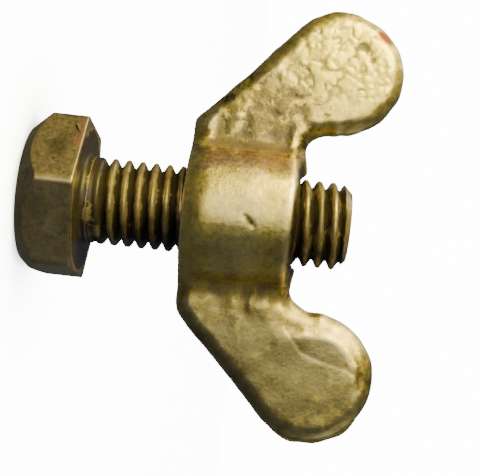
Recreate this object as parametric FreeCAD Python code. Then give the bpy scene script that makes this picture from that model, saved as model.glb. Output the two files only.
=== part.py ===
import FreeCAD, Part
import math
import os

# Brass hexagon bolt with a cast-brass wing nut run part way on to it.
# Origin: centre of the outer face of the bolt head, so the part stands on its head.
# +Z runs along the bolt to its free end, +X along the wings, +Y square to the wings.
# All sizes are in millimetres. The nut is drawn at rest, part way along the thread.

OUT = "parts"

# M8 coarse thread shared by the bolt and the nut
PITCH = 1.25
CREST_RADIUS = 3.98
ROOT_RADIUS = 3.235
PITCH_RADIUS = 3.675
FLANK_SLOPE = math.tan(math.radians(30.0))
FLANK_GAP = 0.10

# Bolt
ACROSS_FLATS = 13.75
HEAD_HEIGHT = 5.1
HEAD_TURN = 21.8
HEAD_FACE_RADIUS = 6.15
HEAD_CHAMFER_SLOPE = 1.1
UNDERHEAD_FILLET = 0.4
BOLT_LENGTH = 24.2
PLAIN_NECK = 1.9
TIP_CHAMFER = 0.85
THREAD_OVERRUN = 1.5

# Wing nut
NUT_SEAT = 9.2
HUB_RADIUS = 6.5
HUB_HEIGHT = 10.1
HUB_BASE_CHAMFER_ALONG = 1.3
HUB_BASE_CHAMFER_IN = 0.75
HUB_END_CHAMFER = 0.4
BORE_RADIUS = 3.35
BORE_GROOVE_RADIUS = 4.05
COUNTERSINK_RADIUS = 4.35
EAR_OFFSET = 13.95
EAR_HEIGHT = 12.9
EAR_RADIUS = 5.7
WING_ROOT = 8.8
WING_ROOT_CORNER = 1.0
WING_SHOULDER = 10.3
WING_SHOULDER_FILLET = 2.4
WING_HALF_AT_AXIS = 2.15
WING_HALF_AT_TIP = 1.5
WING_EDGE_ROUND = 1.15

# Ring of the nut's own metal that carries its travel along the thread
RING_INNER = 4.9
RING_OUTER = 5.5
RING_BOTTOM = 3.2
RING_HEIGHT = 3.6
RING_CLEARANCE = 0.05

Z_AXIS = FreeCAD.Vector(0, 0, 1)
ORIGIN = FreeCAD.Vector(0, 0, 0)
NUT_BASE = HEAD_HEIGHT + NUT_SEAT
TIP = HEAD_HEIGHT + BOLT_LENGTH


def point(x, z):
    """A point in the XZ plane."""
    return FreeCAD.Vector(x, 0, z)


def turned(corners):
    """A solid of revolution about Z from (radius, z) corners."""
    loop = [point(radius, z) for radius, z in corners]
    face = Part.Face(Part.makePolygon(loop + [loop[0]]))
    return face.revolve(ORIGIN, Z_AXIS, 360)


def arc_between(start, middle, end):
    """A circular edge in the XZ plane through three (x, z) points."""
    return Part.Arc(point(*start), point(*middle), point(*end)).toShape()


def straight(start, end):
    """A straight edge in the XZ plane between two (x, z) points."""
    return Part.makeLine(point(*start), point(*end))


def thread_sweep(corners, bottom, top, shift):
    """Sweep a tooth-shaped section, given as (radius, z) corners, up the helix.

    The section is drawn centred on z = 0 and starts at height bottom + shift, turned so
    that every sweep made here belongs to the same M8 helix, which crosses z = 0 on +X.
    """
    helix = Part.makeLongHelix(PITCH, top - bottom, PITCH_RADIUS, 0)
    section = [point(radius, z) for radius, z in corners]
    pipe = Part.BRepOffsetAPI.MakePipeShell(Part.Wire(helix.Edges))
    pipe.setFrenetMode(True)
    pipe.add(Part.makePolygon(section + [section[0]]), False, False)
    pipe.build()
    pipe.makeSolid()
    sweep = pipe.shape()
    sweep.rotate(ORIGIN, Z_AXIS, 360.0 * bottom / PITCH)
    sweep.translate(FreeCAD.Vector(0, 0, bottom + shift))
    return sweep


def bolt_groove():
    """The 60 degree groove cut round the bolt, run out past the tip."""
    outer = CREST_RADIUS + 0.15
    half_root = PITCH / 4 - (PITCH_RADIUS - ROOT_RADIUS) * FLANK_SLOPE
    half_mouth = PITCH / 4 + (outer - PITCH_RADIUS) * FLANK_SLOPE
    section = [
        (ROOT_RADIUS, -half_root),
        (ROOT_RADIUS, half_root),
        (outer, half_mouth),
        (outer, -half_mouth),
    ]
    return thread_sweep(section, HEAD_HEIGHT + PLAIN_NECK, TIP + THREAD_OVERRUN, 0)


def nut_groove():
    """The groove inside the nut: the bolt's tooth with a running gap on each flank."""
    inner = BORE_RADIUS - 0.05
    half_pitch_line = PITCH / 4 + FLANK_GAP
    half_inner = half_pitch_line + (PITCH_RADIUS - inner) * FLANK_SLOPE
    half_outer = half_pitch_line - (BORE_GROOVE_RADIUS - PITCH_RADIUS) * FLANK_SLOPE
    section = [
        (inner, -half_inner),
        (inner, half_inner),
        (BORE_GROOVE_RADIUS, half_outer),
        (BORE_GROOVE_RADIUS, -half_outer),
    ]
    bottom = NUT_BASE - THREAD_OVERRUN
    return thread_sweep(section, bottom, NUT_BASE + HUB_HEIGHT + THREAD_OVERRUN, PITCH / 2)


def head_blank():
    """Hexagon head, its outer face chamfered round the six corners."""
    corner_radius = ACROSS_FLATS / 2 / math.cos(math.radians(30))
    corners = []
    for i in range(7):
        angle = math.radians(HEAD_TURN + 60 * i)
        corners.append(FreeCAD.Vector(math.cos(angle), math.sin(angle), 0) * corner_radius)
    prism = Part.Face(Part.makePolygon(corners)).extrude(Z_AXIS * HEAD_HEIGHT)
    reach = corner_radius + 0.2
    chamfer_top = (reach - HEAD_FACE_RADIUS) * HEAD_CHAMFER_SLOPE
    envelope = turned([
        (0, 0),
        (HEAD_FACE_RADIUS, 0),
        (reach, chamfer_top),
        (reach, HEAD_HEIGHT),
        (0, HEAD_HEIGHT),
    ])
    return prism.common(envelope)


def shank_blank():
    """Plain rod under the head, filleted into it and chamfered at the free end."""
    fillet = UNDERHEAD_FILLET
    foot = CREST_RADIUS + fillet
    centre_height = HEAD_HEIGHT + fillet
    side = fillet * math.cos(math.radians(45))
    edges = [
        straight((0, HEAD_HEIGHT - 1), (foot, HEAD_HEIGHT - 1)),
        straight((foot, HEAD_HEIGHT - 1), (foot, HEAD_HEIGHT)),
        arc_between(
            (foot, HEAD_HEIGHT), (foot - side, centre_height - side), (CREST_RADIUS, centre_height)
        ),
        straight((CREST_RADIUS, centre_height), (CREST_RADIUS, TIP - TIP_CHAMFER)),
        straight((CREST_RADIUS, TIP - TIP_CHAMFER), (CREST_RADIUS - TIP_CHAMFER, TIP)),
        straight((CREST_RADIUS - TIP_CHAMFER, TIP), (0, TIP)),
        straight((0, TIP), (0, HEAD_HEIGHT - 1)),
    ]
    return Part.Face(Part.Wire(edges)).revolve(ORIGIN, Z_AXIS, 360)


def hex_bolt():
    """The bolt in one piece: head, plain neck and rolled M8 thread."""
    threaded = shank_blank().cut(bolt_groove())
    return head_blank().fuse(threaded).removeSplitter()


def wing_outline():
    """Closed outline of one wing in the XZ plane, measured from the nut's seat."""
    ear = (EAR_OFFSET, EAR_HEIGHT)

    # outer edge: the line from the root corner that just touches the ear
    reach = math.hypot(ear[0] - WING_ROOT, ear[1])
    lean = math.atan2(ear[0] - WING_ROOT, ear[1]) + math.asin(EAR_RADIUS / reach)
    run = math.sqrt(reach ** 2 - EAR_RADIUS ** 2)
    touch = (WING_ROOT + run * math.sin(lean), run * math.cos(lean))

    # small round where the seat turns into the outer edge
    setback = WING_ROOT_CORNER * math.tan((math.pi / 2 - lean) / 2)
    corner_start = (WING_ROOT - setback, 0)
    corner_end = (WING_ROOT + setback * math.sin(lean), setback * math.cos(lean))
    half_turn = (math.pi / 2 - lean) / 2
    corner_middle = (
        corner_start[0] + WING_ROOT_CORNER * math.sin(half_turn),
        WING_ROOT_CORNER * (1 - math.cos(half_turn)),
    )

    # hollow curve from the ear down to the shoulder beside the hub
    fillet_height = WING_SHOULDER + WING_SHOULDER_FILLET
    between = EAR_RADIUS + WING_SHOULDER_FILLET
    rise = ear[1] - fillet_height
    fillet_x = ear[0] - math.sqrt(between ** 2 - rise ** 2)
    ear_share = EAR_RADIUS / between
    ear_end = (ear[0] + (fillet_x - ear[0]) * ear_share, ear[1] - rise * ear_share)
    fillet_end = (fillet_x, WING_SHOULDER)
    start_angle = math.atan2(ear_end[1] - fillet_height, ear_end[0] - fillet_x)
    middle_angle = (start_angle - math.pi / 2) / 2
    fillet_middle = (
        fillet_x + WING_SHOULDER_FILLET * math.cos(middle_angle),
        fillet_height + WING_SHOULDER_FILLET * math.sin(middle_angle),
    )

    ear_top = (ear[0], ear[1] + EAR_RADIUS)
    edges = [
        straight((0, 0), corner_start),
        arc_between(corner_start, corner_middle, corner_end),
        straight(corner_end, touch),
        arc_between(touch, ear_top, ear_end),
        arc_between(ear_end, fillet_middle, fillet_end),
        straight(fillet_end, (0, WING_SHOULDER)),
        straight((0, WING_SHOULDER), (0, 0)),
    ]
    return Part.Wire(edges)


def wing():
    """One wing on the +X side: thinner towards the ear, its edges rounded all round."""
    span = EAR_OFFSET + EAR_RADIUS
    plate = Part.Face(wing_outline()).extrude(FreeCAD.Vector(0, 6, 0))
    plate.translate(FreeCAD.Vector(0, -3, 0))
    half_tip = WING_HALF_AT_TIP
    wedge_corners = [
        FreeCAD.Vector(-1, -WING_HALF_AT_AXIS, -1),
        FreeCAD.Vector(span, -half_tip, -1),
        FreeCAD.Vector(span + 1, -half_tip, -1),
        FreeCAD.Vector(span + 1, half_tip, -1),
        FreeCAD.Vector(span, half_tip, -1),
        FreeCAD.Vector(-1, WING_HALF_AT_AXIS, -1),
    ]
    wedge = Part.Face(Part.makePolygon(wedge_corners + [wedge_corners[0]]))
    blank = plate.common(wedge.extrude(Z_AXIS * 30))
    rims = []
    for edge in blank.Edges:
        box = edge.BoundBox
        flat_side = box.YLength < 1.0
        buried = box.XMax < 0.1
        if flat_side and not buried:
            rims.append(edge)
    return blank.makeFillet(WING_EDGE_ROUND, rims)


def hub():
    """Round hub of the nut: bevelled at its seat, lightly broken at the other end."""
    return turned([
        (0, 0),
        (HUB_RADIUS - HUB_BASE_CHAMFER_IN, 0),
        (HUB_RADIUS, HUB_BASE_CHAMFER_ALONG),
        (HUB_RADIUS, HUB_HEIGHT - HUB_END_CHAMFER),
        (HUB_RADIUS - HUB_END_CHAMFER, HUB_HEIGHT),
        (0, HUB_HEIGHT),
    ])


def bore():
    """Core hole of the nut with a countersink at each end."""
    sink = (COUNTERSINK_RADIUS - BORE_RADIUS) * FLANK_SLOPE
    return turned([
        (0, -1),
        (COUNTERSINK_RADIUS, -1),
        (COUNTERSINK_RADIUS, 0),
        (BORE_RADIUS, sink),
        (BORE_RADIUS, HUB_HEIGHT - sink),
        (COUNTERSINK_RADIUS, HUB_HEIGHT),
        (COUNTERSINK_RADIUS, HUB_HEIGHT + 1),
        (0, HUB_HEIGHT + 1),
    ])


def ring(gap):
    """Ring inside the hub wall, made larger all round by gap."""
    bottom = RING_BOTTOM - gap
    top = RING_BOTTOM + RING_HEIGHT + gap
    return turned([
        (RING_INNER - gap, bottom),
        (RING_OUTER + gap, bottom),
        (RING_OUTER + gap, top),
        (RING_INNER - gap, top),
    ])


def wing_nut():
    """The nut in one casting: hub and two wings, drilled, countersunk and tapped."""
    right = wing()
    left = right.mirror(ORIGIN, FreeCAD.Vector(1, 0, 0))
    casting = hub().fuse([right, left]).removeSplitter()
    casting = casting.cut(bore())
    casting = casting.cut(ring(RING_CLEARANCE))
    casting.translate(Z_AXIS * NUT_BASE)
    return casting.cut(nut_groove())


def nut_core_ring():
    """The ring itself, sitting free in its pocket inside the hub wall."""
    core = ring(0)
    core.translate(Z_AXIS * NUT_BASE)
    return core


def write(name, shape):
    shape.exportStep(os.path.join(OUT, name + ".step"))


os.makedirs(OUT, exist_ok=True)
write("hex_bolt", hex_bolt())
write("wing_nut", wing_nut())
write("nut_core_ring", nut_core_ring())
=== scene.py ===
import math

import bmesh
import bpy
import numpy as np
import openvdb
from mathutils import Matrix, Vector


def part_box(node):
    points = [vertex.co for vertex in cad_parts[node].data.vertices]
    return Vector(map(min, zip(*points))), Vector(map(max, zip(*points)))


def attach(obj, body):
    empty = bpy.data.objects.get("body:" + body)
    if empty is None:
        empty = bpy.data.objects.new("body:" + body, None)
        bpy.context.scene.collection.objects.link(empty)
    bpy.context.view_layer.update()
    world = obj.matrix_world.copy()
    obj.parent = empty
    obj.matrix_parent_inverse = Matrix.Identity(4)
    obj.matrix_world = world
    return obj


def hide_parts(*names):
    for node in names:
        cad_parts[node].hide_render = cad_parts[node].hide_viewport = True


# A brass hexagon bolt with a cast-brass wing nut run part way along its thread.
# Sizes are in millimetres and are turned to metres where a mesh, light or camera is made.
# +Z runs along the bolt from its head to its free end, +X along the wings.

MM = 0.001
SEED = 8
WELD_GAP = 0.002
SHARP_EDGE = math.radians(38)

# M8 coarse thread
PITCH = 1.25
CREST_RADIUS = 3.98
ROOT_RADIUS = 3.235
FLANK_SLOPE = math.tan(math.radians(30.0))
CREST_HALF_WIDTH = 0.16
CREST_EDGE_ROUND = 0.10
ROOT_CORNER_ROUND = 0.12
NUT_THREAD_GAP = 0.13
NUT_ROOT_GAP = 0.1

# Bolt
ACROSS_FLATS = 13.75
HEAD_HEIGHT = 5.1
HEAD_TURN = math.radians(21.8)
HEAD_CORNER_ROUND = 0.85
HEAD_FACE_RADIUS = 6.15
HEAD_CHAMFER_SLOPE = 1.1
HEAD_FACE_EDGE_ROUND = 0.25
HEAD_CHAMFER_ROUND = 0.22
BEARING_EDGE_ROUND = 0.14
NECK_FILLET = 0.45
THREAD_START = 5.85
THREAD_FADE = 1.3
TIP_CHAMFER = 0.85
TIP_FACE_RADIUS = CREST_RADIUS - TIP_CHAMFER
CENTRE_DOT = 0.02
ROWS_PER_PITCH = 12

# Wing nut, measured from its seat
HUB_RADIUS = 6.5
HUB_HEIGHT = 10.1
HUB_SEAT_RADIUS = 5.75
HUB_END_BREAK = 0.6
BORE_RADIUS = 3.35
COUNTERSINK_RADIUS = 4.35
RING_WALL = 0.6
RING_GAP = 0.16
WING_SHOULDER = 10.2
WING_SHOULDER_FILLET = 2.4
WING_HALF_AT_AXIS = 2.15
WING_HALF_AT_TIP = 1.5
WING_BEVEL = 1.05
WING_REACH = 19.65
WING_TO_HUB_FILLET = 1.3
RIGHT_EAR = (13.9, 12.85)
RIGHT_EAR_RADIUS = 5.8
RIGHT_CROWN = 10.45
LEFT_EAR = (14.0, 12.9)
LEFT_EAR_RADIUS = 5.7
LEFT_CROWN = 10.5
PARTING_LINE_Y = 0.2
FIN_HALF_THICKNESS = 0.28
FIN_HEIGHT = 0.34

# Block of space that the casting is carved in
VOXEL = 0.13
FLAT_MERGE = 0.003
EDGE_BEND_REACH = 0.35
BROAD_BEND_REACH = 0.9

# Stage
AIM = Vector((1.98, 0.0, 19.8))
CAMERA_DISTANCE = 91.75
CAMERA_BACK = Vector((0.02579, -0.99957, 0.01384))
CAMERA_ROLL = math.radians(6.3)
SENSOR_WIDTH = 36
FOCAL_SHARE = 1000 / 485
FLOOR_HALF = 1.5
FLOOR_DROP = 0.02
FLOOR_GLOW = 13.0
BACKDROP_GLOW = 15.0

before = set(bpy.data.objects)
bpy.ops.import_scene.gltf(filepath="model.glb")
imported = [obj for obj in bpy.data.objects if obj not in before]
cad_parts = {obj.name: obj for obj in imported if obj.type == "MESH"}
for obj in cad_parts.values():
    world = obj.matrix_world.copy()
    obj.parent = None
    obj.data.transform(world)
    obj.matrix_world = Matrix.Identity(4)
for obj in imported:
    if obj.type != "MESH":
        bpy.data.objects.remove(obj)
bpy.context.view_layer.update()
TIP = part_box("hex_bolt")[1][2] / MM
NUT_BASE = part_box("wing_nut")[0][2] / MM


# ---------------------------------------------------------------- shape helpers


def smoothstep(value):
    t = np.clip(value, 0, 1)
    return t * t * (3 - 2 * t)


def blend_low(a, b, width):
    """The smaller of two distances, with the join filled over `width`."""
    near = np.maximum(width - np.abs(a - b), 0) / width
    return np.minimum(a, b) - near * near * width / 4


def blend_high(a, b, width):
    """The larger of two distances, with the join rounded over `width`."""
    return -blend_low(-a, -b, width)


def make_piece(name, points_mm, faces, body, node):
    """A closed mesh from points in millimetres that rides on a body and stands for a CAD node."""
    mesh = bpy.data.meshes.new(name)
    mesh.from_pydata((np.asarray(points_mm) * MM).tolist(), [], faces)
    mesh.validate()
    piece = bpy.data.objects.new(name, mesh)
    bpy.context.scene.collection.objects.link(piece)
    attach(piece, body)
    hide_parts(node)
    return piece


def store(mesh, name, values):
    """Keeps one number per point for the material to read."""
    attribute = mesh.attributes.new(name, "FLOAT", "POINT")
    attribute.data.foreach_set("value", np.asarray(values, np.float32))


def weld(mesh, one_skin):
    """Joins points that coincide, drops the slivers and closes any gap that leaves. A mesh that
    is one skin also gets all its faces turned outwards."""
    work = bmesh.new()
    work.from_mesh(mesh)
    bmesh.ops.remove_doubles(work, verts=work.verts, dist=WELD_GAP * MM)
    bmesh.ops.dissolve_degenerate(work, edges=work.edges, dist=WELD_GAP * MM)
    open_edges = [edge for edge in work.edges if edge.is_boundary]
    bmesh.ops.holes_fill(work, edges=open_edges, sides=4)
    if one_skin:
        bmesh.ops.recalc_face_normals(work, faces=work.faces)
    work.to_mesh(mesh)
    work.free()


# ---------------------------------------------------------------- bolt


def thread_depth(along, height):
    """How far the thread's surface lies under the crests, `along` the axis from a crest. Crests
    are slightly domed, and the thread fades in above the neck."""
    off_crest = np.abs((along + PITCH / 2) % PITCH - PITCH / 2)
    crown = 0.5 * off_crest ** 2
    flank = (off_crest - CREST_HALF_WIDTH) / FLANK_SLOPE
    depth = blend_high(crown, flank, CREST_EDGE_ROUND)
    depth = blend_low(depth, CREST_RADIUS - ROOT_RADIUS, ROOT_CORNER_ROUND)
    return np.maximum(depth, 0) * smoothstep((height - THREAD_START) / THREAD_FADE)


def thread_phase(height, angle):
    """Distance along the axis from the nearest crest's helix, before wrapping to one pitch."""
    return height - PITCH * angle / math.tau + PITCH / 2


def hexagon_radius(angle):
    """Distance from the axis to a hexagon with rounded corners."""
    half_flat, half_sector = ACROSS_FLATS / 2, math.radians(30)
    from_corner = (angle - HEAD_TURN + half_sector) % (2 * half_sector) - half_sector
    flat = half_flat / np.cos(half_sector - np.abs(from_corner))
    inset = half_flat - HEAD_CORNER_ROUND
    centre = inset / math.cos(half_sector)
    reach = np.maximum(HEAD_CORNER_ROUND ** 2 - (centre * np.sin(from_corner)) ** 2, 0)
    corner = centre * np.cos(from_corner) + np.sqrt(reach)
    arc_half = half_sector - math.atan(inset * math.tan(half_sector) / half_flat)
    return np.where(np.abs(from_corner) < arc_half, corner, flat)


def bolt_columns():
    """Angles round the bolt, closer together at the hexagon's corners."""
    close = [0.0, 0.45, 0.9, 1.35, 1.8, 2.25, 2.7, 3.15, 3.7, 4.5]
    spread = np.linspace(5.8, 30.0, 14)[:-1].tolist()
    half = close + spread
    offsets = sorted({round(v, 4) for v in half} | {round(-v, 4) for v in half} | {-30.0})
    angles = [HEAD_TURN + math.radians(60 * k + o) for k in range(6) for o in offsets]
    return np.array(sorted(a % math.tau for a in angles))


def run_rows(start, end, count):
    """Rows of points from start up to, but not at, end."""
    share = np.linspace(0, 1, count, endpoint=False)[:, None, None]
    return list(start + (end - start) * share)


def rounded_rows(corners, rounds, counts, bend_steps=5):
    """Rows that follow straight runs between corners, with each inner corner rounded."""
    rows = []
    here = corners[0]
    for k in range(1, len(corners)):
        target = corners[k]
        if k < len(corners) - 1:
            back = corners[k - 1] - target
            ahead = corners[k + 1] - target
            back = back / np.linalg.norm(back, axis=0)
            ahead = ahead / np.linalg.norm(ahead, axis=0)
            opening = np.arccos(np.clip((back * ahead).sum(0), -1, 1))
            setback = rounds[k] / np.tan(opening / 2)
            start, end = target + back * setback, target + ahead * setback
            rows += run_rows(here, start, counts[k - 1])
            for t in np.linspace(0, 1, bend_steps, endpoint=False):
                rows.append((1 - t) ** 2 * start + 2 * t * (1 - t) * target + t * t * end)
            here = end
        else:
            rows += run_rows(here, target, counts[k - 1])
            rows.append(target)
    return rows


def head_rows(angles):
    """(radius, height) rows from the centre of the outer face round the head to the neck."""
    ones = np.ones_like(angles)
    side = hexagon_radius(angles)
    chamfer = (side - HEAD_FACE_RADIUS) * HEAD_CHAMFER_SLOPE
    corners = [
        np.array([ones * CENTRE_DOT, ones * 0.0]),
        np.array([ones * HEAD_FACE_RADIUS, ones * 0.0]),
        np.array([side, chamfer]),
        np.array([side, ones * HEAD_HEIGHT]),
        np.array([ones * CREST_RADIUS, ones * HEAD_HEIGHT]),
        np.array([ones * CREST_RADIUS, ones * THREAD_START]),
    ]
    rounds = [0, HEAD_FACE_EDGE_ROUND, HEAD_CHAMFER_ROUND, BEARING_EDGE_ROUND, NECK_FILLET, 0]
    return rounded_rows(corners, rounds, counts=[8, 3, 14, 12, 6])


def bolt_mesh():
    """Hexagon head, neck, rolled thread and chamfered tip as one closed skin. Each point has a
    tag for its grease and painted shade: its depth under the crests, or the painted shade on the
    flat places."""
    angles = bolt_columns()
    columns = len(angles)
    points, faces, tags = [], [], []

    def add_row(radius, height, under_crest):
        points.append(np.stack([radius * np.cos(angles), radius * np.sin(angles), height], 1))
        tags.append(under_crest)

    # Painted shade darkens the bearing face and the neck under it, and a band round the neck is
    # left nearly clear of it.
    for radius, height in head_rows(angles):
        under_head = (height > HEAD_HEIGHT - 0.05) * smoothstep((ACROSS_FLATS / 2 - radius) / 1.3)
        neck_rub = np.exp(-((height - HEAD_HEIGHT - 0.75) / 0.28) ** 2)
        add_row(radius, height, 0.9 * under_head * (1 - 0.95 * neck_rub))
    steps = ROWS_PER_PITCH
    turns = math.ceil((TIP - THREAD_START) / PITCH) + 2
    first = len(points)
    for row in range(turns * steps):
        height = THREAD_START - PITCH + row * PITCH / steps + PITCH * angles / math.tau
        height = np.clip(height, THREAD_START, TIP)
        under = thread_depth(thread_phase(height, angles), height)
        chamfer = np.maximum(height - (TIP - TIP_CHAMFER), 0)
        radius = np.minimum(CREST_RADIUS - under, CREST_RADIUS - chamfer)
        by_neck = smoothstep(7.4 - height)
        add_row(radius, height, np.maximum(under, 0.14 + 0.3 * by_neck))
    last = len(points)
    for share in np.linspace(0, 1, 8)[1:]:
        radius = TIP_FACE_RADIUS * (1 - share) + CENTRE_DOT * share
        add_row(np.full(columns, radius), np.full(columns, TIP), np.zeros(columns))

    def quad(row_a, row_b, left, right, shift=0):
        faces.append((
            row_a * columns + left,
            (row_a + shift) * columns + right,
            (row_b + shift) * columns + right,
            row_b * columns + left,
        ))

    for row in list(range(first - 1)) + list(range(last, len(points) - 1)):
        for k in range(columns):
            quad(row, row + 1, k, (k + 1) % columns)
    for row in range(first, last - 1):
        for k in range(columns - 1):
            quad(row, row + 1, k, k + 1)
        if row + 1 + steps < last:
            quad(row, row + 1, columns - 1, 0, steps)
    for row_a, row_b in ((first - 1, first), (last - 1, last)):
        for k in range(columns):
            quad(row_a, row_b, k, (k + 1) % columns)
    faces.append(tuple(range(columns))[::-1])
    faces.append(tuple((len(points) - 1) * columns + k for k in range(columns)))
    return np.concatenate(points), faces, np.concatenate(tags)


def build_bolt():
    """The bolt's skin, smooth except at its real edges."""
    points, faces, under_crest = bolt_mesh()
    piece = make_piece("turned_hex_bolt", points, faces, "bolt", "hex_bolt")
    store(piece.data, "under_crest", under_crest)
    weld(piece.data, one_skin=True)
    piece.data.shade_smooth()
    piece.data.set_sharp_from_angle(angle=SHARP_EDGE)
    return piece


# ---------------------------------------------------------------- wing nut


class Casting:
    """A block of space round the nut, sampled every voxel, that its shape is carved in."""

    def __init__(self):
        low = np.array([-20.4, -7.2, -0.8])
        high = np.array([20.4, 7.2, 19.2])
        self.low = low
        self.shape = np.ceil((high - low) / VOXEL).astype(int)
        axes = [low[k] + VOXEL * np.arange(self.shape[k], dtype=np.float32) for k in range(3)]
        self.x = axes[0][:, None, None]
        self.y = axes[1][None, :, None]
        self.z = axes[2][None, None, :]
        self.off_axis = np.sqrt(self.x ** 2 + self.y ** 2)
        self.seed = SEED

    def lumps(self, grain):
        """Smooth random lumps about `grain` mm across, mostly between -1 and 1."""
        self.seed += 1
        weights = []
        for k in range(3):
            place = np.arange(self.shape[k]) * VOXEL / (grain[k] if np.ndim(grain) else grain)
            cell = place.astype(int)
            t = place - cell
            table = np.zeros((self.shape[k], cell.max() + 4), np.float32)
            spline = (
                (1 - t) ** 3,
                3 * t ** 3 - 6 * t ** 2 + 4,
                -3 * t ** 3 + 3 * t ** 2 + 3 * t + 1,
                t ** 3,
            )
            for step, value in enumerate(spline):
                table[np.arange(self.shape[k]), cell + step] = value / 6
            weights.append(table)
        field = np.random.default_rng(self.seed).standard_normal([w.shape[1] for w in weights])
        field = np.tensordot(weights[0], field.astype(np.float32), (1, 0))
        field = np.tensordot(field, weights[1], (1, 1))
        field = np.tensordot(field, weights[2], (1, 1))
        return field * 1.8


def arc_points(centre, radius, start, end, count):
    """Points along an arc in the XZ plane, angles in radians from +X."""
    angles = np.linspace(start, end, count)
    return [(centre[0] + radius * math.cos(a), centre[1] + radius * math.sin(a)) for a in angles]


def wing_outline(foot, root, ear, ear_radius, crown):
    """Outline of one wing on the +X side: seat, rounded foot, sloping outer edge, round ear,
    and a hollow shoulder that climbs to `crown` beside the bore."""
    reach = math.hypot(ear[0] - root, ear[1])
    lean = math.atan2(ear[0] - root, ear[1]) + math.asin(ear_radius / reach)
    fillet_z = WING_SHOULDER + WING_SHOULDER_FILLET
    between = ear_radius + WING_SHOULDER_FILLET
    fillet_x = ear[0] - math.sqrt(between ** 2 - (ear[1] - fillet_z) ** 2)
    towards = math.atan2(fillet_z - ear[1], fillet_x - ear[0]) % math.tau
    outline = [(-1.0, 0.0)] + foot
    outline += arc_points(ear, ear_radius, -lean, towards, 60)
    outline += arc_points(
        (fillet_x, fillet_z), WING_SHOULDER_FILLET, towards - math.pi, -math.pi / 2, 16
    )
    low = fillet_x - 0.35
    outline += [(low, WING_SHOULDER + 0.06), (4.6, crown), (-1.0, crown)]
    return np.array(outline)


def outline_distance(outline, x, z):
    """Signed distance in the XZ plane to a closed outline, negative inside."""
    best = np.full(np.broadcast(x, z).shape, 1e9)
    inside = np.zeros(best.shape, bool)
    for (ax, az), (bx, bz) in zip(outline, np.roll(outline, -1, axis=0)):
        dx, dz = bx - ax, bz - az
        share = np.clip(((x - ax) * dx + (z - az) * dz) / (dx * dx + dz * dz + 1e-12), 0, 1)
        best = np.minimum(best, (x - ax - share * dx) ** 2 + (z - az - share * dz) ** 2)
        crosses = ((az > z) != (bz > z)) & (x < (bx - ax) * (z - az) / (bz - az + 1e-12) + ax)
        inside ^= crosses
    return np.where(inside, -1, 1) * np.sqrt(best)


def wing_body(block):
    """Both wings: plates that thin towards the ears, with every edge bevelled and rounded."""
    x, z = block.x[:, 0, :], block.z[0]
    right_foot = [(8.3, 0.0), (9.2, 0.22), (9.75, 0.62)]
    left_foot = [(8.0, 0.0), (8.45, 0.12), (8.8, 0.4)]
    right_wing = wing_outline(right_foot, 9.3, RIGHT_EAR, RIGHT_EAR_RADIUS, RIGHT_CROWN)
    left_wing = wing_outline(left_foot, 8.6, LEFT_EAR, LEFT_EAR_RADIUS, LEFT_CROWN)
    right = outline_distance(right_wing, x, z)
    left = outline_distance(left_wing, -x, z)
    flat = np.where(x > 0, right, left).astype(np.float32)[:, None, :]
    flat = flat + 0.05 * block.lumps(3.2)
    thinning = (WING_HALF_AT_AXIS - WING_HALF_AT_TIP) * np.abs(block.x) / WING_REACH
    half = WING_HALF_AT_AXIS - thinning
    half = half + 0.07 * block.lumps(4.5) + lens_patch(block)
    side = np.abs(block.y) - half
    deep = 0.62 * half
    bevel = (flat * deep + (side + deep) * WING_BEVEL) / np.hypot(WING_BEVEL, deep)
    return blend_high(blend_high(flat, bevel, 0.45), side, 0.35)


def lens_patch(block):
    """Where metal lapped and froze on the +X ear: a wandering crease, a slightly sunken flat on
    its inner side, and a rim rubbed down to a shallow slope beyond that."""
    up = [9.5, 10.0, 11.8, 13.7, 16.0, 17.6, 18.4]
    out = [8.7, 9.4, 11.4, 12.3, 12.8, 13.9, 14.8]
    crease_x = np.interp(block.z + 0 * block.x, up, out) + 0.14 * block.lumps(1.1)
    off = (block.x - crease_x) * 0.8
    ends = smoothstep((block.z - 9.6) / 1.2) * smoothstep((17.9 - block.z) / 1.2)
    front = (block.y < 0) * (block.x > 6)
    dx, dz = block.x - RIGHT_EAR[0], block.z - RIGHT_EAR[1]
    bearing = np.degrees(np.arctan2(dz, dx)) % 360
    from_rim = RIGHT_EAR_RADIUS - np.hypot(dx, dz) + 0.13 * block.lumps(0.8)
    round_rim = smoothstep((bearing - 72) / 25) * smoothstep((222 - bearing) / 25)
    rubbed = 0.42 * smoothstep((2.05 - from_rim) / 1.2) * round_rim
    sunk = (0.07 * np.exp(-(off / 0.17) ** 2) + 0.04 * smoothstep(-off / 0.3)) * ends
    return -(rubbed + sunk) * front


def hub_body(block):
    """Round hub with a bevelled foot and the edge of its free end broken."""
    out, z = block.off_axis, block.z
    bevel = ((out - HUB_SEAT_RADIUS) * 1.3 - z * 0.75) / 1.5008
    end_break = (out - HUB_RADIUS) * 0.6 + (z - HUB_HEIGHT + HUB_END_BREAK) * 0.8
    body = blend_high(out - HUB_RADIUS, bevel, 0.5)
    body = blend_high(body, z - HUB_HEIGHT, 0.15)
    body = blend_high(body, end_break, 0.3)
    return blend_high(body, -z, 0.15)


def flash_fin(block):
    """Thin fin left along the mould's parting line round the outer side of the +X ear."""
    away = np.hypot(block.x - RIGHT_EAR[0], block.z - RIGHT_EAR[1]) - RIGHT_EAR_RADIUS
    bearing = np.degrees(np.arctan2(block.z - RIGHT_EAR[1], block.x - RIGHT_EAR[0]))
    reach = smoothstep((bearing + 38) / 14) * smoothstep((58 - bearing) / 20)
    height = FIN_HEIGHT * reach * (0.75 + 0.35 * block.lumps(0.9))
    fin = np.maximum(away - height, np.abs(block.y - PARTING_LINE_Y) - FIN_HALF_THICKNESS)
    return np.where(block.x > 6, fin, 1.0)


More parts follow.
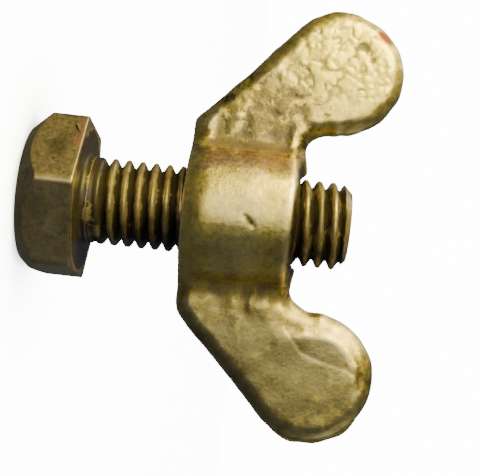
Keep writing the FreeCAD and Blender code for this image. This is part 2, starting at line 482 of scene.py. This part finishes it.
def nut_bore(block):
    """Space that the bolt runs in: M8 thread with a running gap, countersunk at both ends."""
    angle = np.arctan2(block.y, block.x)
    height = block.z + NUT_BASE
    along = thread_phase(height, angle)
    off_crest = np.abs((along + PITCH / 2) % PITCH - PITCH / 2)
    up_flank = np.maximum(off_crest - CREST_HALF_WIDTH - NUT_THREAD_GAP, 0) / FLANK_SLOPE
    groove = np.maximum(CREST_RADIUS + NUT_ROOT_GAP - up_flank, BORE_RADIUS)
    sink = COUNTERSINK_RADIUS - np.maximum(block.z, 0) / FLANK_SLOPE
    far_sink = COUNTERSINK_RADIUS - np.maximum(HUB_HEIGHT - block.z, 0) / FLANK_SLOPE
    wall = np.maximum(groove, np.maximum(sink, far_sink))
    return (block.off_axis - wall) * 0.62


def ring_pocket(block):
    """Closed pocket in the hub wall that the travelling ring sits in."""
    low, high = (np.array(c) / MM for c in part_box("nut_core_ring"))
    outer = high[0] + RING_GAP
    inner = high[0] - RING_WALL - RING_GAP
    bottom, top = low[2] - NUT_BASE - RING_GAP, high[2] - NUT_BASE + RING_GAP
    radial = np.maximum(block.off_axis - outer, inner - block.off_axis)
    return np.maximum(radial, np.maximum(bottom - block.z, block.z - top))


def pits(block):
    """Small dents in the cast skin, and a short cut across the front of the hub."""
    dents = [
        ((-16.3, -1.6, 14.6), (0.35, 0.5, 0.5), 0.12),
        ((-15.2, -1.7, 15.4), (0.5, 0.5, 0.25), 0.09),
        ((-9.4, -2.0, 7.2), (0.4, 0.6, 0.7), 0.12),
        ((-11.2, -1.9, 9.2), (0.3, 0.6, 0.6), 0.09),
        ((-2.8, -5.6, 9.1), (0.3, 0.4, 0.3), 0.08),
        ((11.3, -1.8, 9.3), (0.35, 0.5, 0.45), 0.06),
    ]
    depth = 0
    for centre, size, deep in dents:
        far = sum(
            ((axis - c) / s) ** 2 for axis, c, s in zip((block.x, block.y, block.z), centre, size)
        )
        depth = depth + deep * np.exp(-far)
    start, end = np.array([0.3, 5.6]), np.array([1.0, 6.3])
    run = end - start
    share = ((block.x - start[0]) * run[0] + (block.z - start[1]) * run[1]) / (run @ run)
    share = np.clip(share, 0, 1)
    away = np.hypot(block.x - start[0] - share * run[0], block.z - start[1] - share * run[1])
    cut = 0.09 * np.exp(-(away / 0.24) ** 2) * (block.y < 0)
    return depth + cut


def sand_skin(block):
    """How far the sand mould's roughness moves the surface in or out: waves all over, ribs beside
    the hub, and creases and hammer-like dimples on the wings, stronger on the -X one."""
    off = np.abs(block.x)
    on_hub = smoothstep((7.2 - block.off_axis) / 0.9)
    by_hub = np.exp(-((off - 7.8) / 1.3) ** 2) * smoothstep((block.z - 0.8) / 1.5)
    on_ear = smoothstep((off - 9.5) / 3.0)
    middle = smoothstep((5.2 - np.hypot(off - 13.9, block.z - 12.9)) / 1.2)
    rougher = block.x < 0
    waves = 0.05 * block.lumps(2.2) + 0.022 * block.lumps(0.8) * (1 - 0.6 * on_hub)
    ribs = 0.10 * block.lumps((2.2, 3.0, 0.55)) * by_hub
    worm = block.lumps(0.36) + 0.4 * block.lumps(0.8)
    creases = -0.055 * np.exp(-(worm / 0.34) ** 2) * on_ear * middle
    hammered = 0.032 * block.lumps(0.5) * smoothstep((off - 7.6) / 1.5) * (1 - middle * 0.5)
    hammered = hammered + 0.045 * block.lumps(0.95) * smoothstep((off - 7.6) / 1.5) * (1 - middle)
    on_wings = creases * np.where(rougher, 1.0, 0.1) + hammered * np.where(rougher, 1.0, 0.5)
    return waves + ribs + on_wings + 0.035 * block.lumps(1.25) * on_hub


def spread_blur(field, sigma):
    """Gaussian blur of the block, sigma in mm."""
    reach = int(3 * sigma / VOXEL)
    steps = np.arange(-reach, reach + 1)
    kernel = np.exp(-0.5 * (steps * VOXEL / sigma) ** 2)
    kernel /= kernel.sum()
    for axis in range(3):
        padded = np.pad(field, [(reach, reach) if k == axis else (0, 0) for k in range(3)], "edge")
        total = 0
        for step, weight in zip(steps, kernel):
            pick = [slice(None)] * 3
            pick[axis] = slice(reach + step, reach + step + field.shape[axis])
            total = total + np.float32(weight) * padded[tuple(pick)]
        field = total
    return field


def sample(block, field, points):
    """Trilinear reading of a block at points in the nut's own millimetres."""
    place = (points - block.low) / VOXEL
    cell = np.clip(place.astype(int), 0, np.array(field.shape) - 2)
    t = place - cell
    total = 0
    for corner in range(8):
        step = np.array([corner >> 2 & 1, corner >> 1 & 1, corner & 1])
        weight = np.prod(np.where(step, t, 1 - t), axis=1)
        at = cell + step
        total = total + weight * field[at[:, 0], at[:, 1], at[:, 2]]
    return total


def skin_bend(block, body, reach, points):
    """How sharply the skin bends over `reach` mm: above 0 on a ridge, under 0 in a hollow."""
    return sample(block, (spread_blur(body, reach) - body) / (reach ** 2 / 2), points)


def build_nut():
    """The nut's skin, with how sharply it bends kept for the dirt and the rubbed ridges."""
    block = Casting()
    body = blend_low(hub_body(block), wing_body(block), WING_TO_HUB_FILLET)
    body = blend_high(body, -block.z, 0.12)
    body = blend_low(body, flash_fin(block), 0.15)
    body = body - sand_skin(block) * smoothstep((block.z - 0.05) / 0.4) + pits(block)
    body = np.maximum(body, -nut_bore(block))
    body = np.maximum(body, -ring_pocket(block)).astype(np.float32)
    grid = openvdb.FloatGrid(background=3.0)
    grid.copyFromArray(np.ascontiguousarray(body))
    points, triangles, quads = grid.convertToPolygons(isovalue=0.0, adaptivity=FLAT_MERGE)
    points = points * VOXEL + block.low
    edge_bend = skin_bend(block, body, EDGE_BEND_REACH, points)
    broad_bend = skin_bend(block, body, BROAD_BEND_REACH, points)
    faces = [tuple(face) for face in quads.tolist() + triangles.tolist()]
    placed = points + np.array([0, 0, NUT_BASE])
    piece = make_piece("cast_wing_nut", placed, faces, "nut", "wing_nut")
    store(piece.data, "edge_bend", edge_bend)
    store(piece.data, "broad_bend", broad_bend)
    weld(piece.data, one_skin=False)
    piece.data.shade_smooth()
    return piece


# ---------------------------------------------------------------- materials


def linear(hex_code, alpha=1.0):
    """sRGB hex to the linear colour that Blender's sockets take."""
    channels = [int(hex_code[k:k + 2], 16) / 255 for k in (1, 3, 5)]
    straight = [c / 12.92 if c <= 0.04045 else ((c + 0.055) / 1.055) ** 2.4 for c in channels]
    return (*straight, alpha)


def scale_for(size_mm):
    """Texture scale whose features are size_mm across, for coordinates in metres."""
    return 1 / (size_mm * MM)


def add_node(tree, kind, settings=None, inputs=None):
    """Adds one node with its settings; an input is a value or another node's output socket."""
    node = tree.nodes.new(kind)
    for name, value in (settings or {}).items():
        setattr(node, name, value)
    for key, value in (inputs or {}).items():
        if isinstance(value, bpy.types.NodeSocket):
            tree.links.new(value, node.inputs[key])
        else:
            node.inputs[key].default_value = value
    return node


def new_material(name):
    """An empty node material and its tree."""
    material = bpy.data.materials.new(name)
    material.use_nodes = True
    material.node_tree.nodes.clear()
    return material, material.node_tree


def stain_and_shade_oval(tree, place, centre, size, strength=1.0, soft=0.6, ragged=0.5, lean=0.0):
    """Where one of the ragged-edged stains or patches of painted shade lies: an oval that reaches
    `size` mm each way from a centre in mm, turned by `lean` degrees about Y."""
    wander = add_node(tree, "ShaderNodeTexNoise", inputs={
        "Vector": place, "Scale": scale_for(1.3), "Detail": 3.0, "Roughness": 0.6})
    from_centre = add_node(tree, "ShaderNodeVectorMath", {"operation": "SUBTRACT"}, {
        0: place, 1: [c * MM for c in centre]})
    turned = add_node(tree, "ShaderNodeVectorRotate", {"rotation_type": "Y_AXIS"}, {
        "Vector": from_centre.outputs[0], "Angle": math.radians(lean)})
    in_ovals = add_node(tree, "ShaderNodeVectorMath", {"operation": "DIVIDE"}, {
        0: turned.outputs[0], 1: [c * MM for c in size]})
    middle = add_node(tree, "ShaderNodeVectorMath", {"operation": "SUBTRACT"}, {
        0: wander.outputs["Color"], 1: (0.5, 0.5, 0.5)})
    pulled = add_node(tree, "ShaderNodeVectorMath", {"operation": "MULTIPLY_ADD"}, {
        0: middle.outputs[0], 1: [ragged * 3] * 3, 2: in_ovals.outputs[0]})
    distance = add_node(tree, "ShaderNodeVectorMath", {"operation": "LENGTH"}, {
        0: pulled.outputs[0]})
    return add_node(tree, "ShaderNodeMapRange", {"interpolation_type": "SMOOTHSTEP"}, {
        "Value": distance.outputs["Value"], "From Min": 1.0, "From Max": 1.0 - soft,
        "To Max": strength}).outputs[0]


def lay_over(tree, ground, coats):
    """Lays coats over the bare metal in turn, painted shade among them; each is (where it lies, its
    colour).
    """
    for where, colour in coats:
        ground = add_node(tree, "ShaderNodeMix", {"data_type": "RGBA"}, {
            0: where, 6: ground, 7: linear(colour)}).outputs[2]
    return ground


def left_bare(tree, thickest, *others):
    """How much metal shows past the thickest of the dirts and painted shades, which leave a fifth
    of it showing.
    """
    for other in others:
        thickest = add_node(tree, "ShaderNodeMath", {"operation": "MAXIMUM"}, {
            0: thickest, 1: other}).outputs[0]
    return add_node(tree, "ShaderNodeMath", {"operation": "MULTIPLY_ADD"}, {
        0: thickest, 1: -0.8, 2: 1.0}).outputs[0]


def finish_brass(tree, colour, grain, rough, relief_mm, relief_strength, bare):
    """Metal shader for both brasses: grain in the gloss and in a shallow relief, and `bare`
    metal where no dirt or painted shade covers it."""
    low, high = rough
    gloss = add_node(tree, "ShaderNodeMapRange", inputs={
        "Value": grain, "From Min": 0.3, "From Max": 0.7, "To Min": low, "To Max": high})
    relief = add_node(tree, "ShaderNodeBump", inputs={
        "Height": grain, "Strength": relief_strength, "Distance": relief_mm * MM})
    shader = add_node(tree, "ShaderNodeBsdfPrincipled", inputs={
        "Base Color": colour, "Metallic": bare,
        "Roughness": gloss.outputs[0], "Normal": relief.outputs[0]})
    add_node(tree, "ShaderNodeOutputMaterial", inputs={"Surface": shader.outputs[0]})


def cast_brass():
    """Sand-cast brass, never machined outside, handled for years: pale straw-gold where fingers
    rub it, olive where it has tarnished, brown dirt in the hollows of the cast skin and a copper
    blush where the zinc has gone. Painted shade darkens the +X wing and the edge of the hub's free
    end."""
    material, tree = new_material("sand_cast_brass_tarnished")
    place = add_node(tree, "ShaderNodeTexCoord").outputs["Object"]
    bend = add_node(tree, "ShaderNodeAttribute", {"attribute_name": "edge_bend"}).outputs["Fac"]
    broad = add_node(tree, "ShaderNodeAttribute", {"attribute_name": "broad_bend"}).outputs["Fac"]
    patches = add_node(tree, "ShaderNodeTexNoise", inputs={
        "Vector": place, "Scale": scale_for(3.5), "Detail": 5.0, "Roughness": 0.62})
    mottle = add_node(tree, "ShaderNodeTexNoise", inputs={
        "Vector": place, "Scale": scale_for(1.1), "Detail": 5.0, "Roughness": 0.65})
    # Moulding sand has grains of about 0.2 mm, drawn here at twice that so that they show.
    grain = add_node(tree, "ShaderNodeTexNoise", inputs={
        "Vector": place, "Scale": scale_for(0.42), "Detail": 5.0, "Roughness": 0.62})
    olive = add_node(tree, "ShaderNodeMapRange", inputs={
        "Value": patches.outputs["Fac"], "From Min": 0.46, "From Max": 0.66, "To Max": 0.55})
    brown = add_node(tree, "ShaderNodeMapRange", inputs={
        "Value": mottle.outputs["Fac"], "From Min": 0.50, "From Max": 0.70, "To Max": 0.55})
    hollow = add_node(tree, "ShaderNodeMapRange", inputs={
        "Value": bend, "From Min": -0.05, "From Max": -0.6, "To Max": 0.8})
    corner = add_node(tree, "ShaderNodeMapRange", inputs={
        "Value": broad, "From Min": -0.12, "From Max": -0.6, "To Max": 0.85})
    ridge = add_node(tree, "ShaderNodeMapRange", inputs={
        "Value": bend, "From Min": 0.35, "From Max": 1.3, "To Max": 0.55})
    # Each stain or patch of painted shade has its centre and reach in mm, then its strength,
    # softness and raggedness.
    foot = NUT_BASE
    crease = stain_and_shade_oval(tree, place, (-6.3, -2.6, foot + 5.0), (0.75, 2.0, 6.0), 0.85, 0.5, 0.3)
    pebbled = stain_and_shade_oval(tree, place, (-10.0, -2, foot + 7.5), (5.0, 4, 6.5), 1.0, 0.5)
    colour = lay_over(tree, linear("#e2ce6a"), [
        (olive.outputs[0], "#a89a62"),
        (stain_and_shade_oval(tree, place, (-15.6, -2, foot + 13.6), (5.2, 5, 6.2), 0.85, 0.6), "#fbea58"),
        (stain_and_shade_oval(tree, place, (-9.3, -2, foot + 6.4), (4.5, 4, 6.0), 0.95, 0.5, 1.1), "#706542"),
        # Painted shade: the +X wing is darkened all over.
        (stain_and_shade_oval(tree, place, (13.5, -2, foot + 9.0), (8.5, 6, 11.0), 0.8, 0.5), "#8a8058"),
        (stain_and_shade_oval(tree, place, (10.6, -2, foot + 14.2), (2.2, 3, 3.2), 0.5), "#b5a878"),
        (stain_and_shade_oval(tree, place, (9.5, 0, foot + 2.0), (3.5, 6, 3.5), 0.6), "#6a5d38"),
        (brown.outputs[0], "#857448"),
        (stain_and_shade_oval(tree, place, (-5.0, -4.2, foot + 5.4), (1.9, 3.2, 6.0), 0.8, 0.45, 0.9), "#c09a88"),
        (stain_and_shade_oval(tree, place, (0.65, -6.4, foot + 5.95), (0.6, 0.7, 0.55), 0.8, 0.5, 0.2), "#6a5e38"),
        (stain_and_shade_oval(tree, place, (-17.6, -1.4, foot + 16.5), (1.3, 2.2, 1.5), 0.95), "#8c4a28"),
        (stain_and_shade_oval(tree, place, (11.4, -2, foot + 9.3), (0.5, 1.5, 0.6), 0.6), "#5a5236"),
        (crease, "#5c5142"),
        (hollow.outputs[0], "#645a48"),
        (corner.outputs[0], "#363128"),
        (ridge.outputs[0], "#f7eaac"),
        # Painted shade on the edge of the hub's free end, laid last so it also darkens the rubbed
        # ridge there.
        (stain_and_shade_oval(tree, place, (0, -4.4, foot + 10.3), (8.5, 6.0, 0.95), 0.9, 0.4, 0.2), "#43361f"),
    ])
    rough_skin = add_node(tree, "ShaderNodeMapRange", inputs={
        "Value": pebbled, "To Min": 0.5, "To Max": 1.0})
    bare = left_bare(tree, corner.outputs[0], hollow.outputs[0], crease)
    finish_brass(
        tree, colour, grain.outputs["Fac"], rough=(0.30, 0.46), relief_mm=0.06,
        relief_strength=rough_skin.outputs[0], bare=bare)
    return material


def rolled_brass():
    """Brass bar, forged at the head and rolled at the thread, gone olive-brown: black grease lies
    in the thread, unevenly on its brighter crests, with painted shade along the +X side of the
    thread and on the bearing face. The head has a coppery rub on one edge and a dark scratch beside
    it."""
    material, tree = new_material("rolled_brass_greasy")
    place = add_node(tree, "ShaderNodeTexCoord").outputs["Object"]
    under = add_node(tree, "ShaderNodeAttribute", {"attribute_name": "under_crest"}).outputs["Fac"]
    patches = add_node(tree, "ShaderNodeTexNoise", inputs={
        "Vector": place, "Scale": scale_for(2.6), "Detail": 5.0, "Roughness": 0.62})
    mottle = add_node(tree, "ShaderNodeTexNoise", inputs={
        "Vector": place, "Scale": scale_for(0.8), "Detail": 4.0, "Roughness": 0.65})
    # The forged skin's own grain is about 0.1 mm, drawn here at three times that so that it shows.
    grain = add_node(tree, "ShaderNodeTexNoise", inputs={
        "Vector": place, "Scale": scale_for(0.3), "Detail": 4.0, "Roughness": 0.6})
    olive = add_node(tree, "ShaderNodeMapRange", inputs={
        "Value": patches.outputs["Fac"], "From Min": 0.40, "From Max": 0.66, "To Max": 0.8})
    brown = add_node(tree, "ShaderNodeMapRange", inputs={
        "Value": mottle.outputs["Fac"], "From Min": 0.52, "From Max": 0.72, "To Max": 0.5})
    # Grease is smeared thicker and thinner along the thread, as fingers leave it.
    smear = add_node(tree, "ShaderNodeTexNoise", inputs={
        "Vector": place, "Scale": scale_for(1.7), "Detail": 3.0, "Roughness": 0.6})
    thick = add_node(tree, "ShaderNodeMapRange", inputs={
        "Value": smear.outputs["Fac"], "From Min": 0.38, "From Max": 0.62, "To Min": 0.5,
        "To Max": 2.1})
    smeared = add_node(tree, "ShaderNodeMath", {"operation": "MULTIPLY"}, {
        0: under, 1: thick.outputs[0]})
    # Grease fills the thread's grooves and smears its crests; on the bearing face and the neck
    # under the head the same darkening is painted shade.
    grease_and_painted_shade = add_node(tree, "ShaderNodeMapRange", inputs={
        "Value": smeared.outputs[0], "From Min": 0.04, "From Max": 0.40, "To Max": 0.94})
    # Painted shade: the +X side of the thread is darkened and made less metallic.
    painted_shade_x_side = stain_and_shade_oval(tree, place, (3.7, -1.0, 17.6), (4.6, 6.0, 12.5), 0.85, 0.45, 0.2)
    colour = lay_over(tree, linear("#d3c084"), [
        (olive.outputs[0], "#a09468"),
        (brown.outputs[0], "#7f7150"),
        (stain_and_shade_oval(tree, place, (-3.9, -5.6, 3.1), (1.5, 2.5, 1.2), 0.55), "#7a6f4c"),
        (stain_and_shade_oval(tree, place, (-5.2, -4.5, 4.75), (2.2, 2.5, 0.55), 0.85, 0.5, 0.3), "#dcae84"),
        (stain_and_shade_oval(tree, place, (-6.0, -4.0, 4.3), (0.75, 1.6, 0.13), 0.9, 0.6, 0.08, 34), "#2c2418"),
        (painted_shade_x_side, "#2a2415"),
        (grease_and_painted_shade.outputs[0], "#120f0a"),
    ])
    bare = left_bare(tree, grease_and_painted_shade.outputs[0], painted_shade_x_side)
    finish_brass(
        tree, colour, grain.outputs["Fac"], rough=(0.30, 0.44), relief_mm=0.03,
        relief_strength=0.35, bare=bare)
    return material


# ---------------------------------------------------------------- stage


def plain_floor():
    """Pale floor under the head, kept out of the metal's reflections like a flagged-off table.
    It glows softly, with a painted contact shadow where the glow dims close round whatever stands
    on it."""
    half = FLOOR_HALF
    corners = [(-half, -half, 0), (half, -half, 0), (half, half, 0), (-half, half, 0)]
    mesh = bpy.data.meshes.new("pale_floor")
    mesh.from_pydata(corners, [], [(0, 1, 2, 3)])
    floor = bpy.data.objects.new("pale_floor", mesh)
    floor.location.z = -FLOOR_DROP * MM
    bpy.context.scene.collection.objects.link(floor)
    material, tree = new_material("pale_paper")
    # Painted contact shadow: ambient occlusion dims the glow near the object.
    painted_contact_shadow = add_node(tree, "ShaderNodeAmbientOcclusion", {"samples": 8}, {"Distance": 12 * MM})
    glow = add_node(tree, "ShaderNodeMapRange", inputs={
        "Value": painted_contact_shadow.outputs["AO"], "From Min": 0.2, "To Min": 1.5, "To Max": FLOOR_GLOW})
    shader = add_node(tree, "ShaderNodeBsdfPrincipled", inputs={
        "Base Color": linear("#f4f3f0"), "Roughness": 0.9,
        "Emission Color": linear("#ffffff"), "Emission Strength": glow.outputs[0]})
    add_node(tree, "ShaderNodeOutputMaterial", inputs={"Surface": shader.outputs[0]})
    mesh.materials.append(material)
    floor.visible_glossy = False
    floor.visible_diffuse = False


def studio_light(name, towards, distance, size, watts, colour):
    """A soft rectangular light that shines at the middle of the object."""
    light = bpy.data.lights.new(name, "AREA")
    light.shape = "RECTANGLE"
    light.size, light.size_y = size[0] * MM, size[1] * MM
    light.energy = watts
    light.color = linear(colour)[:3]
    lamp = bpy.data.objects.new(name, light)
    direction = Vector(towards).normalized()
    lamp.location = AIM * MM + direction * distance * MM
    lamp.rotation_euler = direction.to_track_quat("Z", "Y").to_euler()
    bpy.context.scene.collection.objects.link(lamp)


def square_on_camera():
    """Looks square on to the wings, with the bolt's head to the left and its tip a little low."""
    back = CAMERA_BACK.normalized()
    right = (Vector((0, 0, 1)) - back * back.z).normalized()
    up = back.cross(right)
    turn = Matrix.Rotation(CAMERA_ROLL, 3, back)
    right, up = turn @ right, turn @ up
    camera_data = bpy.data.cameras.new("camera")
    camera_data.sensor_width = SENSOR_WIDTH
    camera_data.lens = SENSOR_WIDTH * FOCAL_SHARE
    camera_data.clip_start, camera_data.clip_end = 0.005, 20
    camera = bpy.data.objects.new("camera", camera_data)
    axes = Matrix((right, up, back)).transposed().to_4x4()
    axes.translation = (AIM + back * CAMERA_DISTANCE) * MM
    camera.matrix_world = axes
    bpy.context.scene.collection.objects.link(camera)
    bpy.context.scene.camera = camera


def studio():
    """Camera, floor, four soft lights and a bright backdrop that only the camera sees."""
    square_on_camera()
    plain_floor()
    studio_light("overhead_softbox", (-0.66, -0.58, 0.48), 160, (120, 130), 0.77, "#ffea90")
    studio_light("front_fill", (-0.15, -1.0, 0.10), 330, (160, 200), 0.29, "#fffdf6")
    studio_light("back_softbox", (-0.80, 0.45, 0.75), 300, (240, 240), 0.35, "#fff8ea")
    studio_light("far_side", (0.95, 0.25, 0.45), 320, (180, 180), 0.06, "#f4f3f0")
    world = bpy.data.worlds.new("studio_air")
    world.use_nodes = True
    tree = world.node_tree
    tree.nodes.clear()
    path = add_node(tree, "ShaderNodeLightPath")
    seen = add_node(tree, "ShaderNodeBackground", inputs={
        "Color": linear("#ffffff"), "Strength": BACKDROP_GLOW})
    dim = add_node(tree, "ShaderNodeBackground", inputs={
        "Color": linear("#a6aec6"), "Strength": 0.20})
    mix = add_node(tree, "ShaderNodeMixShader", inputs={
        0: path.outputs["Is Camera Ray"], 1: dim.outputs[0], 2: seen.outputs[0]})
    add_node(tree, "ShaderNodeOutputWorld", inputs={"Surface": mix.outputs[0]})
    bpy.context.scene.world = world


bolt = build_bolt()
nut = build_nut()
bolt.data.materials.append(rolled_brass())
casting = cast_brass()
nut.data.materials.append(casting)
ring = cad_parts["nut_core_ring"]
ring.data.materials.clear()
ring.data.materials.append(casting)
studio()
